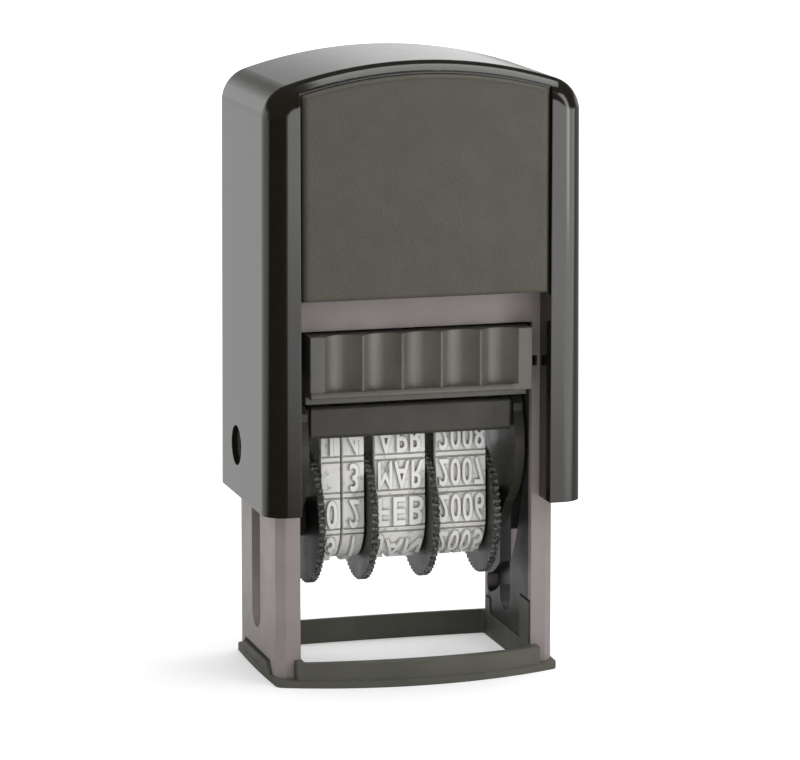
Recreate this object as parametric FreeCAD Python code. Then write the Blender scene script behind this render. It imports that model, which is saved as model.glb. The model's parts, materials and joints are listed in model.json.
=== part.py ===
import FreeCAD, Part
import math
import os

# A self-inking date stamp for the desk, in millimetres.
# X runs across the front, -Y points to the front and +Z points up.
# The origin is on the resting surface, under the middle of the housing.
# The rest position has the housing up and the print face against the ink pad.
# Widths grow from the date row outwards, and heights from the paper upwards.

V = FreeCAD.Vector

# Clearances
running_clearance = 0.05
slot_clearance = 0.1
slide_clearance = 0.25
small_gap = 0.2
turn_gap = 0.3
cut_past = 1.0

# Date row, from left to right: every band has its thumb wheel beside it
day_tens_width = 2.6
day_units_width = 2.9
month_width = 6.9
year_width = 6.9
wheel_side_gap = 0.25
neighbour_gap = 0.35
row_end_gap = 0.175

# Rubber bands: twelve rows of raised characters each
band_turn_radius = 5.4
band_half_depth = 5.1
band_corner_radius = 1.0
band_corner_drop = 1.45
band_flat_half = 1.9
band_thickness = 0.8
relief_height = 0.7
character_height = 3.8
rows_per_band = 12

# Thumb wheels and their axle
wheel_drop = 10.15
wheel_radius = 8.9
wheel_thickness = 0.9
wheel_teeth = 60
tooth_depth = 0.4
hub_radius = 4.3
axle_radius = 1.5

# Travel and turning centre
stroke = 22.5
pivot_y = 3.0
print_face_radius = 7.6
pin_radius = 2.15
pin_head_radius = 2.62
pin_flange_radius = 3.2
pin_flange = 0.8
pin_recess = 0.7
pin_dimple_radius = 1.2
pin_dimple_depth = 0.8

# Date carrier: the black cradle that turns over as the housing goes down
cheek_thickness = 1.3
cheek_side_gap = 0.4
cheek_radius = 10.0
cheek_top_radius = 6.3
cheek_front_step = 1.0
cheek_back_reach = 5.5
cheek_corner = 0.9
cheek_low_turn = 236
cheek_boss_radius = 2.9
cheek_boss_turn = 220
cheek_boss_reach = 1.45
bar_end_gap = 0.5
bar_height = 4.35
bar_back_reach = 6.3
bar_edge_radius = 0.5
bar_web_setback = 0.8
bar_web_inset = 0.45
bridge_side_height = 0.9
bridge_side_drop = 0.3
stud_reach = 7.0
stud_radius = 1.0
stud_length = 1.3
groove_depth = 1.45
groove_steps = 24

# Ink cartridge: a tray that slides out to the front, with a felt pad
tray_side_gap = 0.8
tray_skirt = 0.45
tray_height = 9.3
tray_back_lap = 1.1
tray_wall = 1.3
tray_front_wall = 1.7
grip_reach = 2.6
grip_lift = 1.1
lip_reach = 3.0
lip_height = 0.85
lip_radius = 0.35
lip_end_inset = 2.7
flute_count = 5
flute_pitch = 5.3
flute_radius = 3.1
flute_depth = 1.3
runner_reach = 1.3
runner_lift = 3.9
runner_height = 1.0
runner_setback = 6.0
face_gap = 0.05
pad_height = 4.0

# Inner frame: the grey part with two columns that the housing slides on
column_thickness = 3.1
carrier_front_gap = 1.64
wheel_back_gap = 0.34
frame_corner_chamfer = 1.1
column_head = 1.5
crossbar_height = 5.6
crossbar_thickness = 1.6
deck_thickness = 1.6
back_wall_lap = 8.6
well_floor = 1.0
well_wall = 1.2
well_gap = 0.4
foot_arch_height = 1.6
foot_arch_front_inset = 2.84
foot_arch_back_inset = 1.64
foot_arch_slope = 1.4

# Housing: the glossy saddle-shaped cover that the hand presses down
frame_side_gap = 1.1
frame_front_gap = 3.41
frame_back_gap = 0.26
rim_press_gap = 0.1
roof_press_gap = 3.6
cap_side_draft = 0.3
cap_side_wall = 1.5
cap_front_wall = 1.55
cap_back_wall = 1.1
cap_roof = 2.0
cap_arch_radius = 60.0
cap_shoulder_radius = 4.5
cap_edge_radius = 2.8
cap_inner_edge_radius = 0.8
rib_lift = 2.6
rib_width = 1.2
rib_inset = 2.2

# Notches in the front and the back of the housing, between its legs
notch_side_gap = 0.2
notch_top_drop = 0.9
notch_corner_radius = 1.0
notch_cheek_wall = 1.2

# Matte panels let into the front and the back of the housing
panel_crown_drop = 1.55
panel_thickness = 0.8
panel_gap = 0.25
panel_bevel = 0.5
back_panel_thickness = 0.5

# Base: the black foot that frames the print window
ledge_thickness = 0.9
ledge_side_reach = 0.3
ledge_side_bow = 0.3
ledge_front_reach = 0.96
ledge_front_bow = 3.9
ledge_back_reach = 0.76
ledge_back_bow = 0.6
ledge_corner_radius = 1.2
rim_height = 3.3
rim_wall = 1.0
rim_setback = 0.3
window_side_step = 0.2
window_front_reach = 1.26
window_front_bow = 1.5
window_back_reach = 0.01
window_back_bow = 0.4
window_corner_radius = 0.4
lug_root = 0.5
lug_overhang = 0.45
lug_drop = 0.3
front_clip_inset = 2.54
front_clip_width = 4.0
front_clip_top_z = 9.0
back_clip_inset = 1.64
back_clip_width = 2.0
back_clip_top_z = 5.4
clip_thickness = 0.9

# Return spring between the frame's well and the housing's roof
spring_radius = 4.2
spring_wire = 0.9
spring_turns = 9
spring_seat_gap = 0.1
spring_boss_height = 4.0
spring_boss_gap = 0.5

# Widths that follow from the date row
row_width = (day_tens_width + day_units_width + month_width + year_width
             + 4 * (wheel_thickness + wheel_side_gap) + 3 * neighbour_gap)
cheek_boss_inner = row_width / 2 + row_end_gap
cheek_inner_half = cheek_boss_inner + cheek_boss_reach
cheek_outer_half = cheek_inner_half + cheek_thickness
bar_half_width = cheek_inner_half - bar_end_gap
frame_inner_half = cheek_outer_half + cheek_side_gap
frame_half_width = frame_inner_half + column_thickness
tray_half_width = frame_inner_half - tray_side_gap
window_half_width = frame_inner_half - window_side_step
rim_half_width = window_half_width + rim_wall
rim_edge_x = rim_half_width + running_clearance
ledge_half_width = frame_half_width + ledge_side_reach
notch_half_width = rim_half_width + notch_side_gap
cap_inner_half = frame_half_width + frame_side_gap
cap_half = cap_inner_half + cap_side_wall

# Depths that follow from the carrier and its wheels
cheek_front_reach = cheek_radius - cheek_front_step
frame_front_y = pivot_y - cheek_radius - carrier_front_gap
frame_back_y = pivot_y + wheel_radius + wheel_back_gap
spring_y = (frame_front_y + frame_back_y) / 2
tray_back_y = pivot_y + cheek_back_reach + tray_back_lap
grip_front_y = frame_front_y - grip_reach
runner_front_y = frame_front_y + runner_setback
foot_arch_start_y = frame_front_y + foot_arch_front_inset
foot_arch_end_y = frame_back_y - foot_arch_back_inset
front_clip_y = frame_front_y + front_clip_inset
back_clip_y = frame_back_y - back_clip_inset
cap_inner_front_y = frame_front_y - frame_front_gap
cap_inner_back_y = frame_back_y + frame_back_gap
cap_front_y = cap_inner_front_y - cap_front_wall
cap_back_y = cap_inner_back_y + cap_back_wall
cap_depth = cap_back_y - cap_front_y
ledge_front_corner_y = frame_front_y - ledge_front_reach
ledge_back_corner_y = frame_back_y + ledge_back_reach
window_front_y = frame_front_y - window_front_reach
window_back_y = frame_back_y + window_back_reach

# Heights that follow from the stroke and the print face
pressed_pivot_z = print_face_radius + face_gap
pivot_z = pressed_pivot_z + stroke
wheel_z = pivot_z - wheel_drop
print_face_z = pivot_z + print_face_radius
pad_bottom_z = print_face_z + face_gap
pad_top_z = pad_bottom_z + pad_height
tray_bottom_z = print_face_z - tray_skirt
tray_top_z = tray_bottom_z + tray_height
grip_bottom_z = tray_bottom_z + grip_lift
lip_top_z = grip_bottom_z + lip_height
runner_bottom_z = tray_bottom_z + runner_lift
crossbar_bottom_z = tray_top_z + turn_gap
deck_top_z = crossbar_bottom_z + crossbar_height
back_wall_bottom_z = tray_top_z - back_wall_lap
well_floor_z = tray_top_z + well_gap + well_floor
frame_top_z = deck_top_z + column_head
notch_top_z = deck_top_z - notch_top_drop
cap_rim_z = ledge_thickness + rim_press_gap + stroke
cap_roof_z = frame_top_z + stroke + roof_press_gap
cap_crown_z = cap_roof_z + cap_roof
panel_crown_z = cap_crown_z - panel_crown_drop

# Other values that follow
slot_half_width = pin_radius + slot_clearance
well_inner_radius = spring_radius + spring_wire / 2 + spring_boss_gap


def box(x0, x1, y0, y1, z0, z1):
    return Part.makeBox(x1 - x0, y1 - y0, z1 - z0, V(x0, y0, z0))


def rod_x(radius, x0, x1, y, z):
    return Part.makeCylinder(radius, x1 - x0, V(x0, y, z), V(1, 0, 0))


def rod_z(radius, z0, z1, x, y):
    return Part.makeCylinder(radius, z1 - z0, V(x, y, z0), V(0, 0, 1))


def mirrored(shape):
    """The same shape on the other side of the X = 0 plane."""
    return shape.mirror(V(0, 0, 0), V(1, 0, 0))


def both_sides(shape):
    return [shape, mirrored(shape)]


def fuse(shapes):
    return shapes[0].multiFuse(shapes[1:]).removeSplitter()


def prism_x(edges, x0, x1):
    """A closed outline drawn in the YZ plane, made solid from x0 to x1."""
    face = Part.Face(Part.Wire(edges))
    face.translate(V(x0, 0, 0))
    return face.extrude(V(x1 - x0, 0, 0))


def polygon_x(corners, x0, x1):
    points = [V(0, y, z) for y, z in corners]
    edges = [
        Part.makeLine(start, end)
        for start, end in zip(points, points[1:] + points[:1])
    ]
    return prism_x(edges, x0, x1)


def arc_through(start, middle, end):
    return Part.Arc(start, middle, end).toShape()


def edges_where(shape, test):
    return [edge for edge in shape.Edges if test(edge.BoundBox)]


def fillet_where(shape, radius, test):
    return shape.makeFillet(radius, edges_where(shape, test))


def is_upright(bounds):
    return bounds.ZLength > 0.01 and bounds.XLength < 0.01 and bounds.YLength < 0.01


# Housing

def half_width_at(z, half_at_rim):
    """Half the housing's width at a height, with the walls' draft."""
    share = (z - cap_rim_z) / (cap_crown_z - cap_rim_z)
    return half_at_rim - cap_side_draft * share


def saddle(half, bottom_z, crown_z, y0, y1, shoulder, edge_radius):
    """The housing's arched block, with round shoulders and round long edges."""
    arch = cap_arch_radius - (cap_crown_z - crown_z)
    top_half = half_width_at(crown_z, half)
    bottom_half = half_width_at(bottom_z, half)
    shoulder_z = crown_z - arch + math.sqrt(arch ** 2 - top_half ** 2)
    left_foot = V(-bottom_half, y0, bottom_z)
    left_shoulder = V(-top_half, y0, shoulder_z)
    right_shoulder = V(top_half, y0, shoulder_z)
    right_foot = V(bottom_half, y0, bottom_z)
    outline = Part.Wire([
        Part.makeLine(left_foot, left_shoulder),
        arc_through(left_shoulder, V(0, y0, crown_z), right_shoulder),
        Part.makeLine(right_shoulder, right_foot),
        Part.makeLine(right_foot, left_foot),
    ])
    block = Part.Face(outline).extrude(V(0, y1 - y0, 0))
    block = fillet_where(
        block, shoulder,
        lambda b: b.YLength > (y1 - y0) * 0.9 and b.ZMin > bottom_z + edge_radius)
    return fillet_where(
        block, edge_radius,
        lambda b: b.YLength < 0.01 and b.ZMax > bottom_z + edge_radius)


def arched_plate(half, bottom_z, crown_z, y0, y1):
    """A plate with an arched top edge, as the matte panels have."""
    edge_z = crown_z - cap_arch_radius + math.sqrt(cap_arch_radius ** 2 - half ** 2)
    corners = [
        V(-half, y0, bottom_z),
        V(-half, y0, edge_z),
        V(half, y0, edge_z),
        V(half, y0, bottom_z),
    ]
    outline = Part.Wire([
        Part.makeLine(corners[0], corners[1]),
        arc_through(corners[1], V(0, y0, crown_z), corners[2]),
        Part.makeLine(corners[2], corners[3]),
        Part.makeLine(corners[3], corners[0]),
    ])
    return Part.Face(outline).extrude(V(0, y1 - y0, 0))


def notch_block():
    """The space between the legs, cut through the front and the back wall."""
    block = box(-notch_half_width, notch_half_width, cap_front_y - cut_past, cap_back_y + cut_past,
                cap_rim_z - cut_past, notch_top_z)
    return fillet_where(
        block, notch_corner_radius,
        lambda b: b.YLength > cap_depth and b.ZMin > notch_top_z - 0.01)


def guide_ribs():
    """Two upright ribs in each side wall, which slide along the frame."""
    inner_x = frame_half_width + slide_clearance
    outer_x = cap_inner_half + cap_side_wall / 3
    bottom_z = cap_rim_z + rib_lift
    top_z = cap_roof_z - cap_shoulder_radius
    places = (frame_front_y + rib_inset, frame_back_y - rib_inset)
    ribs = []
    for y in places:
        rib = box(inner_x, outer_x, y - rib_width / 2, y + rib_width / 2, bottom_z, top_z)
        ribs += both_sides(rib)
    return ribs


def cap_shell():
    outer = saddle(cap_half, cap_rim_z, cap_crown_z, cap_front_y, cap_back_y,
                   cap_shoulder_radius, cap_edge_radius)
    inner = saddle(cap_inner_half, cap_rim_z - cut_past, cap_roof_z, cap_inner_front_y, cap_inner_back_y,
                   cap_shoulder_radius - cap_side_wall, cap_inner_edge_radius)
    cheek = box(notch_half_width, notch_half_width + notch_cheek_wall,
                cap_inner_front_y - cap_front_wall / 3, frame_front_y - slide_clearance,
                cap_rim_z, notch_top_z + notch_cheek_wall)
    boss_radius = spring_radius - spring_wire / 2 - spring_boss_gap
    boss = rod_z(boss_radius, cap_roof_z - spring_boss_height, cap_roof_z + cap_roof / 2, 0, spring_y)
    shell = outer.cut(inner).cut(notch_block())
    shell = fuse([shell, boss] + both_sides(cheek) + guide_ribs())
    hole = rod_x(pin_head_radius + running_clearance, -cap_half - cut_past, cap_half + cut_past,
                 pivot_y, pivot_z)
    recess_bottom_z = notch_top_z - cut_past
    recess_crown_z = panel_crown_z + panel_gap
    front_recess = arched_plate(notch_half_width, recess_bottom_z, recess_crown_z,
                                cap_front_y - cut_past, cap_front_y + panel_thickness)
    back_recess = arched_plate(notch_half_width, recess_bottom_z, recess_crown_z,
                               cap_back_y - back_panel_thickness, cap_back_y + cut_past)
    return shell.cut(hole).cut(front_recess).cut(back_recess)


def bevel_panel(panel, face_y, bevel):
    """Bevels the panel's edges along its outer face, except the bottom one."""
    return panel.makeChamfer(bevel, edges_where(
        panel, lambda b: abs(b.YMin - face_y) + b.YLength < 0.01 and b.ZMax > notch_top_z + 0.01))


def front_panel():
    half = notch_half_width - panel_gap
    panel = arched_plate(half, notch_top_z, panel_crown_z, cap_front_y, cap_front_y + panel_thickness)
    return bevel_panel(panel, cap_front_y, panel_bevel)


def back_panel():
    half = notch_half_width - panel_gap
    panel = arched_plate(half, notch_top_z, panel_crown_z, cap_back_y - back_panel_thickness, cap_back_y)
    return bevel_panel(panel, cap_back_y, back_panel_thickness / 2)


def pivot_pin():
    """The right pin: its head fills the housing's hole and its shank bears the carrier."""
    wall_x = half_width_at(pivot_z, cap_half)
    flange_x = half_width_at(pivot_z, cap_inner_half) - running_clearance
    head_x = wall_x - pin_recess
    pin = fuse([
        rod_x(pin_radius, cheek_inner_half, flange_x, pivot_y, pivot_z),
        rod_x(pin_flange_radius, flange_x - pin_flange, flange_x, pivot_y, pivot_z),
        rod_x(pin_head_radius, flange_x - pin_flange, head_x, pivot_y, pivot_z),
    ])
    dimple_x = head_x - pin_dimple_depth
    return pin.cut(rod_x(pin_dimple_radius, dimple_x, head_x + cut_past, pivot_y, pivot_z))


# Inner frame

def pivot_slot():
    """The upright slot that the pivot pin slides in, as long as the stroke."""
    low_z = pressed_pivot_z - slot_clearance
    high_z = pivot_z + slot_clearance
    x0 = frame_inner_half - cut_past
    x1 = frame_half_width + cut_past
    return fuse([
        box(x0, x1, pivot_y - slot_half_width, pivot_y + slot_half_width, low_z, high_z),
        rod_x(slot_half_width, x0, x1, pivot_y, low_z),
        rod_x(slot_half_width, x0, x1, pivot_y, high_z),
    ])


def stud_place(turn):
    """Where the carrier's stud is in the YZ plane when the carrier has turned."""
    drop = stroke * turn / math.pi
    return V(0, pivot_y - stud_reach * math.cos(turn), pivot_z - drop - stud_reach * math.sin(turn))


def stud_side(turn, side, radius):
    """A point at one side of the stud's path, square to the path."""
    climb = -stroke / math.pi - stud_reach * math.cos(turn)
    along = V(0, stud_reach * math.sin(turn), climb)
    along.normalize()
    return stud_place(turn) + V(0, -along.z, along.y) * (side * radius)


def cam_groove():
    """The curved groove that turns the carrier over as the stud rides down it."""
    radius = stud_radius + turn_gap
    turns = [math.pi * step / groove_steps for step in range(groove_steps + 1)]
    sides = []
    for side in (1, -1):
        curve = Part.BSplineCurve()
        curve.interpolate([stud_side(turn, side, radius) for turn in turns])
        sides.append(curve.toShape())
    x0 = frame_inner_half - cut_past
    x1 = frame_inner_half + groove_depth
    ends = [
        Part.makeLine(stud_side(turn, 1, radius), stud_side(turn, -1, radius))
        for turn in (0, math.pi)
    ]
    channel = prism_x(Part.__sortEdges__(sides + ends), x0, x1)
    caps = [rod_x(radius, x0, x1, stud_place(turn).y, stud_place(turn).z) for turn in (0, math.pi)]
    return fuse([channel] + caps)


def clip_block(centre_y, width, top_z, gap):
    """A snap clip of the base, or with a gap the pocket for it."""
    x0 = window_half_width + running_clearance
    x1 = x0 + clip_thickness + gap
    reach = width / 2 + gap
    return box(x0, x1, centre_y - reach, centre_y + reach, rim_height - gap, top_z + gap)


def column():
    """The right column of the frame."""
    inside_x = frame_inner_half - cut_past
    outside_x = frame_half_width + cut_past
    before_y = frame_front_y - cut_past
    wall = box(frame_inner_half, frame_half_width, frame_front_y, frame_back_y,
               ledge_thickness, frame_top_z)
    wall = wall.makeChamfer(frame_corner_chamfer, edges_where(
        wall, lambda b: b.ZLength > column_thickness and b.XMin > frame_half_width - 0.01))
    arch_z = ledge_thickness + foot_arch_height
    arch = polygon_x([
        (foot_arch_start_y, ledge_thickness - cut_past),
        (foot_arch_start_y, ledge_thickness),
        (foot_arch_start_y + foot_arch_slope, arch_z),
        (foot_arch_end_y - foot_arch_slope, arch_z),
        (foot_arch_end_y, ledge_thickness),
        (foot_arch_end_y, ledge_thickness - cut_past),
    ], inside_x, outside_x)
    rim_step = box(inside_x, rim_edge_x, before_y, frame_back_y + cut_past, 0, rim_height)
    runner_groove = box(inside_x, tray_half_width + runner_reach + small_gap,
                        before_y, tray_back_y + small_gap,
                        runner_bottom_z - small_gap, runner_bottom_z + runner_height + small_gap)
    pockets = [
        clip_block(front_clip_y, front_clip_width, front_clip_top_z, small_gap),
        clip_block(back_clip_y, back_clip_width, back_clip_top_z, small_gap),
    ]
    for tool in [arch, rim_step, pivot_slot(), cam_groove(), runner_groove] + pockets:
        wall = wall.cut(tool)
    return wall


def inner_frame():
    half = frame_inner_half
    front_bar = box(-half, half, frame_front_y, frame_front_y + crossbar_thickness,
                    crossbar_bottom_z, deck_top_z)
    back_wall = box(-half, half, frame_back_y - crossbar_thickness, frame_back_y,
                    back_wall_bottom_z, deck_top_z)
    deck = box(-half, half, frame_front_y, frame_back_y, deck_top_z - deck_thickness, deck_top_z)
    well = rod_z(well_inner_radius + well_wall, well_floor_z - well_floor, deck_top_z, 0, spring_y)
    frame = fuse(both_sides(column()) + [front_bar, back_wall, deck, well])
    return frame.cut(rod_z(well_inner_radius, well_floor_z, deck_top_z + cut_past, 0, spring_y))


# Base

def bowed_outline(half, side_bow, front_y, front_bow, back_y, back_bow, z):
    """A four-sided outline whose sides all bow outwards."""
    middle_y = (front_y + back_y) / 2
    corners = [V(-half, front_y, z), V(half, front_y, z), V(half, back_y, z), V(-half, back_y, z)]
    crowns = [
        V(0, front_y - front_bow, z),
        V(half + side_bow, middle_y, z),
        V(0, back_y + back_bow, z),
        V(-half - side_bow, middle_y, z),
    ]
    edges = []
    for index in range(4):
        start, end = corners[index], corners[(index + 1) % 4]
        crown = crowns[index]
        straight = (start + end).multiply(0.5)
        bowed = (crown - straight).Length > 0.01
        edges.append(arc_through(start, crown, end) if bowed else Part.makeLine(start, end))
    return Part.Face(Part.Wire(edges))


def base_frame():
    ledge = bowed_outline(ledge_half_width, ledge_side_bow, ledge_front_corner_y, ledge_front_bow,
                          ledge_back_corner_y, ledge_back_bow, 0).extrude(V(0, 0, ledge_thickness))
    ledge = fillet_where(ledge, ledge_corner_radius, is_upright)
    rim = bowed_outline(ledge_half_width, 0, ledge_front_corner_y + rim_setback, ledge_front_bow,
                        ledge_back_corner_y - rim_setback, ledge_back_bow, 0).extrude(V(0, 0, rim_height))
    rim = rim.common(box(-rim_half_width, rim_half_width, cap_front_y, cap_back_y, 0, rim_height))
    lug_top = ledge_thickness + foot_arch_height - lug_drop
    lug_slope = foot_arch_slope + lug_drop
    lug = polygon_x([
        (foot_arch_start_y + lug_drop, 0),
        (foot_arch_start_y + lug_drop, ledge_thickness),
        (foot_arch_start_y + lug_drop + lug_slope, lug_top),
        (foot_arch_end_y - lug_drop - lug_slope, lug_top),
        (foot_arch_end_y - lug_drop, ledge_thickness),
        (foot_arch_end_y - lug_drop, 0),
    ], rim_half_width - lug_root, frame_half_width + lug_overhang)
    clips = [
        clip_block(front_clip_y, front_clip_width, front_clip_top_z, 0),
        clip_block(back_clip_y, back_clip_width, back_clip_top_z, 0),
    ]
    clip_roots = [
        box(clip.BoundBox.XMin, clip.BoundBox.XMax, clip.BoundBox.YMin, clip.BoundBox.YMax, 0, rim_height)
        for clip in clips
    ]
    pieces = [ledge, rim] + both_sides(lug)
    for piece in clips + clip_roots:
        pieces += both_sides(piece)
    window = bowed_outline(window_half_width, 0, window_front_y, window_front_bow,
                           window_back_y, window_back_bow, -cut_past)
    window = window.extrude(V(0, 0, rim_height + 2 * cut_past))
    window = fillet_where(window, window_corner_radius, is_upright)
    return fuse(pieces).cut(window)


# Date carrier

def row_spans():
    """Where every band and thumb wheel lies across the stamp, from left to right."""
    row = [
        ("day_tens_wheel", wheel_thickness, wheel_side_gap),
        ("day_tens_band", day_tens_width, neighbour_gap),
        ("day_units_band", day_units_width, wheel_side_gap),
        ("day_units_wheel", wheel_thickness, neighbour_gap),
        ("month_band", month_width, wheel_side_gap),
        ("month_wheel", wheel_thickness, neighbour_gap),
        ("year_band", year_width, wheel_side_gap),
        ("year_wheel", wheel_thickness, row_end_gap),
    ]
    spans = {}
    x = -row_width / 2
    for name, width, gap in row:
        spans[name] = (x, x + width)
        x += width + gap
    return spans


def cheek():
    """The right cheek: round at the front, with a boss for the wheels' axle below."""
    top_z = pivot_z + cheek_top_radius
    front_y = pivot_y - cheek_front_reach
    back_y = pivot_y + cheek_back_reach
    meet_z = pivot_z + math.sqrt(cheek_radius ** 2 - cheek_front_reach ** 2)
    low_turn = math.radians(cheek_low_turn)
    boss_turn = math.radians(cheek_boss_turn)
    low = V(0, pivot_y + cheek_radius * math.cos(low_turn), pivot_z + cheek_radius * math.sin(low_turn))
    boss_left = V(0, pivot_y + cheek_boss_radius * math.cos(boss_turn),
                  wheel_z + cheek_boss_radius * math.sin(boss_turn))
    boss_right = V(0, pivot_y + cheek_boss_radius, wheel_z)
    corners = [
        V(0, back_y, top_z),
        V(0, front_y + cheek_corner, top_z),
        V(0, front_y, top_z - cheek_corner),
        V(0, front_y, meet_z),
    ]
    edges = [
        Part.makeLine(corners[0], corners[1]),
        Part.makeLine(corners[1], corners[2]),
        Part.makeLine(corners[2], corners[3]),
        arc_through(corners[3], V(0, pivot_y - cheek_radius, pivot_z), low),
        Part.makeLine(low, boss_left),
        arc_through(boss_left, V(0, pivot_y, wheel_z - cheek_boss_radius), boss_right),
        Part.makeLine(boss_right, V(0, back_y, pivot_z - cheek_back_reach)),
        Part.makeLine(V(0, back_y, pivot_z - cheek_back_reach), corners[0]),
    ]
    return prism_x(edges, cheek_inner_half, cheek_outer_half)


def band_bridge(half):
    """The bar inside the band loops, with the platen on top that backs the print face."""
    platen_z = print_face_z - relief_height - band_thickness
    side_top_z = platen_z - band_corner_drop - bridge_side_drop
    side_low_z = side_top_z - bridge_side_height
    reach = band_half_depth - band_thickness - small_gap
    return polygon_x([
        (pivot_y - band_flat_half, platen_z),
        (pivot_y + band_flat_half, platen_z),
        (pivot_y + reach, side_top_z),
        (pivot_y + reach, side_low_z),
        (pivot_y - reach, side_low_z),
        (pivot_y - reach, side_top_z),
    ], -half, half)


def date_carrier():
    half = (cheek_inner_half + cheek_outer_half) / 2
    top_z = pivot_z + cheek_top_radius
    front_y = pivot_y - cheek_front_reach
    bar_back_y = pivot_y - bar_back_reach
    bar = box(-bar_half_width, bar_half_width, front_y, bar_back_y, top_z - bar_height, top_z)
    bar = fillet_where(
        bar, bar_edge_radius,
        lambda b: b.XLength > bar_half_width and b.YMin < front_y + 0.01 and b.YLength < 0.01)
    web = box(-half, half, front_y + bar_web_setback, bar_back_y,
              top_z - bar_height + bar_web_inset, top_z - bar_web_inset)
    boss = rod_x(cheek_boss_radius - turn_gap, cheek_boss_inner, half, pivot_y, wheel_z)
    stud = rod_x(stud_radius, half, cheek_outer_half + stud_length, pivot_y - stud_reach, pivot_z)
    sides = both_sides(cheek()) + both_sides(boss) + both_sides(stud)
    carrier = fuse(sides + [bar, web, band_bridge(half)])
    pivot_bore = rod_x(pin_radius + running_clearance, -cap_half, cap_half, pivot_y, pivot_z)
    axle_bore = rod_x(axle_radius + running_clearance, -cap_half, cap_half, pivot_y, wheel_z)
    return carrier.cut(pivot_bore).cut(axle_bore)


def wheel_axle():
    return rod_x(axle_radius, -cheek_outer_half, cheek_outer_half, pivot_y, wheel_z)


def band_circles():
    """The round places that each band bends over: the wheel's hub and the platen's edges."""
    top_z = print_face_z - relief_height
    corner = band_corner_radius
    corner_y = band_half_depth - corner
    low_z = top_z - band_corner_drop - corner
    return [
        (pivot_y, wheel_z, band_turn_radius),
        (pivot_y + corner_y, low_z, corner),
        (pivot_y + band_flat_half, top_z - corner, corner),
        (pivot_y - band_flat_half, top_z - corner, corner),
        (pivot_y - corner_y, low_z, corner),
    ]


def band_runs(offset):
    """Straight runs and arcs round the circles, grown by an offset, as a closed path."""
    circles = [(y, z, radius + offset) for y, z, radius in band_circles()]
    normals = []
    for (y0, z0, r0), (y1, z1, r1) in zip(circles, circles[1:] + circles[:1]):
        distance = math.hypot(y1 - y0, z1 - z0)
        heading = math.atan2(z1 - z0, y1 - y0)
        normals.append(heading - math.pi / 2 + math.asin((r0 - r1) / distance))
    runs = []
    for index, (y, z, radius) in enumerate(circles):
        start_turn = normals[index - 1]
        end_turn = normals[index]
        while end_turn < start_turn:
            end_turn += 2 * math.pi
        runs.append(("arc", y, z, radius, start_turn, end_turn))
        y1, z1, r1 = circles[(index + 1) % len(circles)]
        start = V(0, y + radius * math.cos(end_turn), z + radius * math.sin(end_turn))
        end = V(0, y1 + r1 * math.cos(end_turn), z1 + r1 * math.sin(end_turn))
        runs.append(("line", start, end, end_turn))
    return runs


def run_length(run):
    if run[0] == "arc":
        return run[3] * (run[5] - run[4])
    return (run[2] - run[1]).Length


def band_place(distance):
    """The point and the outward direction at a distance along the band's path."""
    runs = band_runs(0)
    distance %= sum(run_length(run) for run in runs)
    for run in runs:
        length = run_length(run)
        if distance <= length:
            break
        distance -= length
    if run[0] == "arc":
        turn = run[4] + distance / run[3]
        out = V(0, math.cos(turn), math.sin(turn))
        return V(0, run[1], run[2]) + out * run[3], out
    out = V(0, math.cos(run[3]), math.sin(run[3]))
    return run[1] + (run[2] - run[1]) * (distance / length), out


def band_loop(offset, x0, x1):
    edges = []
    for run in band_runs(offset):
        if run[0] == "line":
            edges.append(Part.makeLine(run[1], run[2]))
            continue
        turns = (run[4], (run[4] + run[5]) / 2, run[5])
        edges.append(arc_through(*[
            V(0, run[1] + run[3] * math.cos(turn), run[2] + run[3] * math.sin(turn)) for turn in turns
        ]))
    return prism_x(edges, x0, x1)


def top_distance():
    """How far along its path a band reaches the middle of the print face."""
    runs = band_runs(0)
    return sum(run_length(run) for run in runs[:5]) + run_length(runs[5]) / 2


def rubber_band(x0, x1):
    """A closed band with a raised block for each row, and a groove between rows."""
    hollow = band_loop(-band_thickness, x0 - cut_past, x1 + cut_past)
    loop = band_loop(relief_height, x0, x1).cut(hollow)
    pitch = sum(run_length(run) for run in band_runs(0)) / rows_per_band
    groove_width = pitch - character_height
    tools = []
    for row in range(rows_per_band):
        place, out = band_place(top_distance() + (row + 0.5) * pitch)
        tool = box(x0 - cut_past, x1 + cut_past, -groove_width / 2, groove_width / 2,
                   0, relief_height + cut_past)
        tool.rotate(V(0, 0, 0), V(1, 0, 0), math.degrees(math.atan2(out.z, out.y)) - 90)
        tool.translate(place)
        tools.append(tool)
    return loop.cut(Part.makeCompound(tools))


def thumb_wheel(x0, x1, hub_end_x):
    """A toothed disc with the hub that its band runs round."""
    root = wheel_radius - tooth_depth
    step = 2 * math.pi / wheel_teeth
    points = []
    for tooth in range(wheel_teeth):
        for share, radius in ((0.0, root), (0.25, wheel_radius), (0.5, wheel_radius), (0.75, root)):
            turn = (tooth + share) * step
            points.append((pivot_y + radius * math.cos(turn), wheel_z + radius * math.sin(turn)))
    disc = polygon_x(points, x0, x1)
    hub = rod_x(hub_radius, min(x0, hub_end_x), max(x1, hub_end_x), pivot_y, wheel_z)
    wheel = fuse([disc, hub])
    return wheel.cut(rod_x(axle_radius + running_clearance, -cap_half, cap_half, pivot_y, wheel_z))


# Ink cartridge

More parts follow.
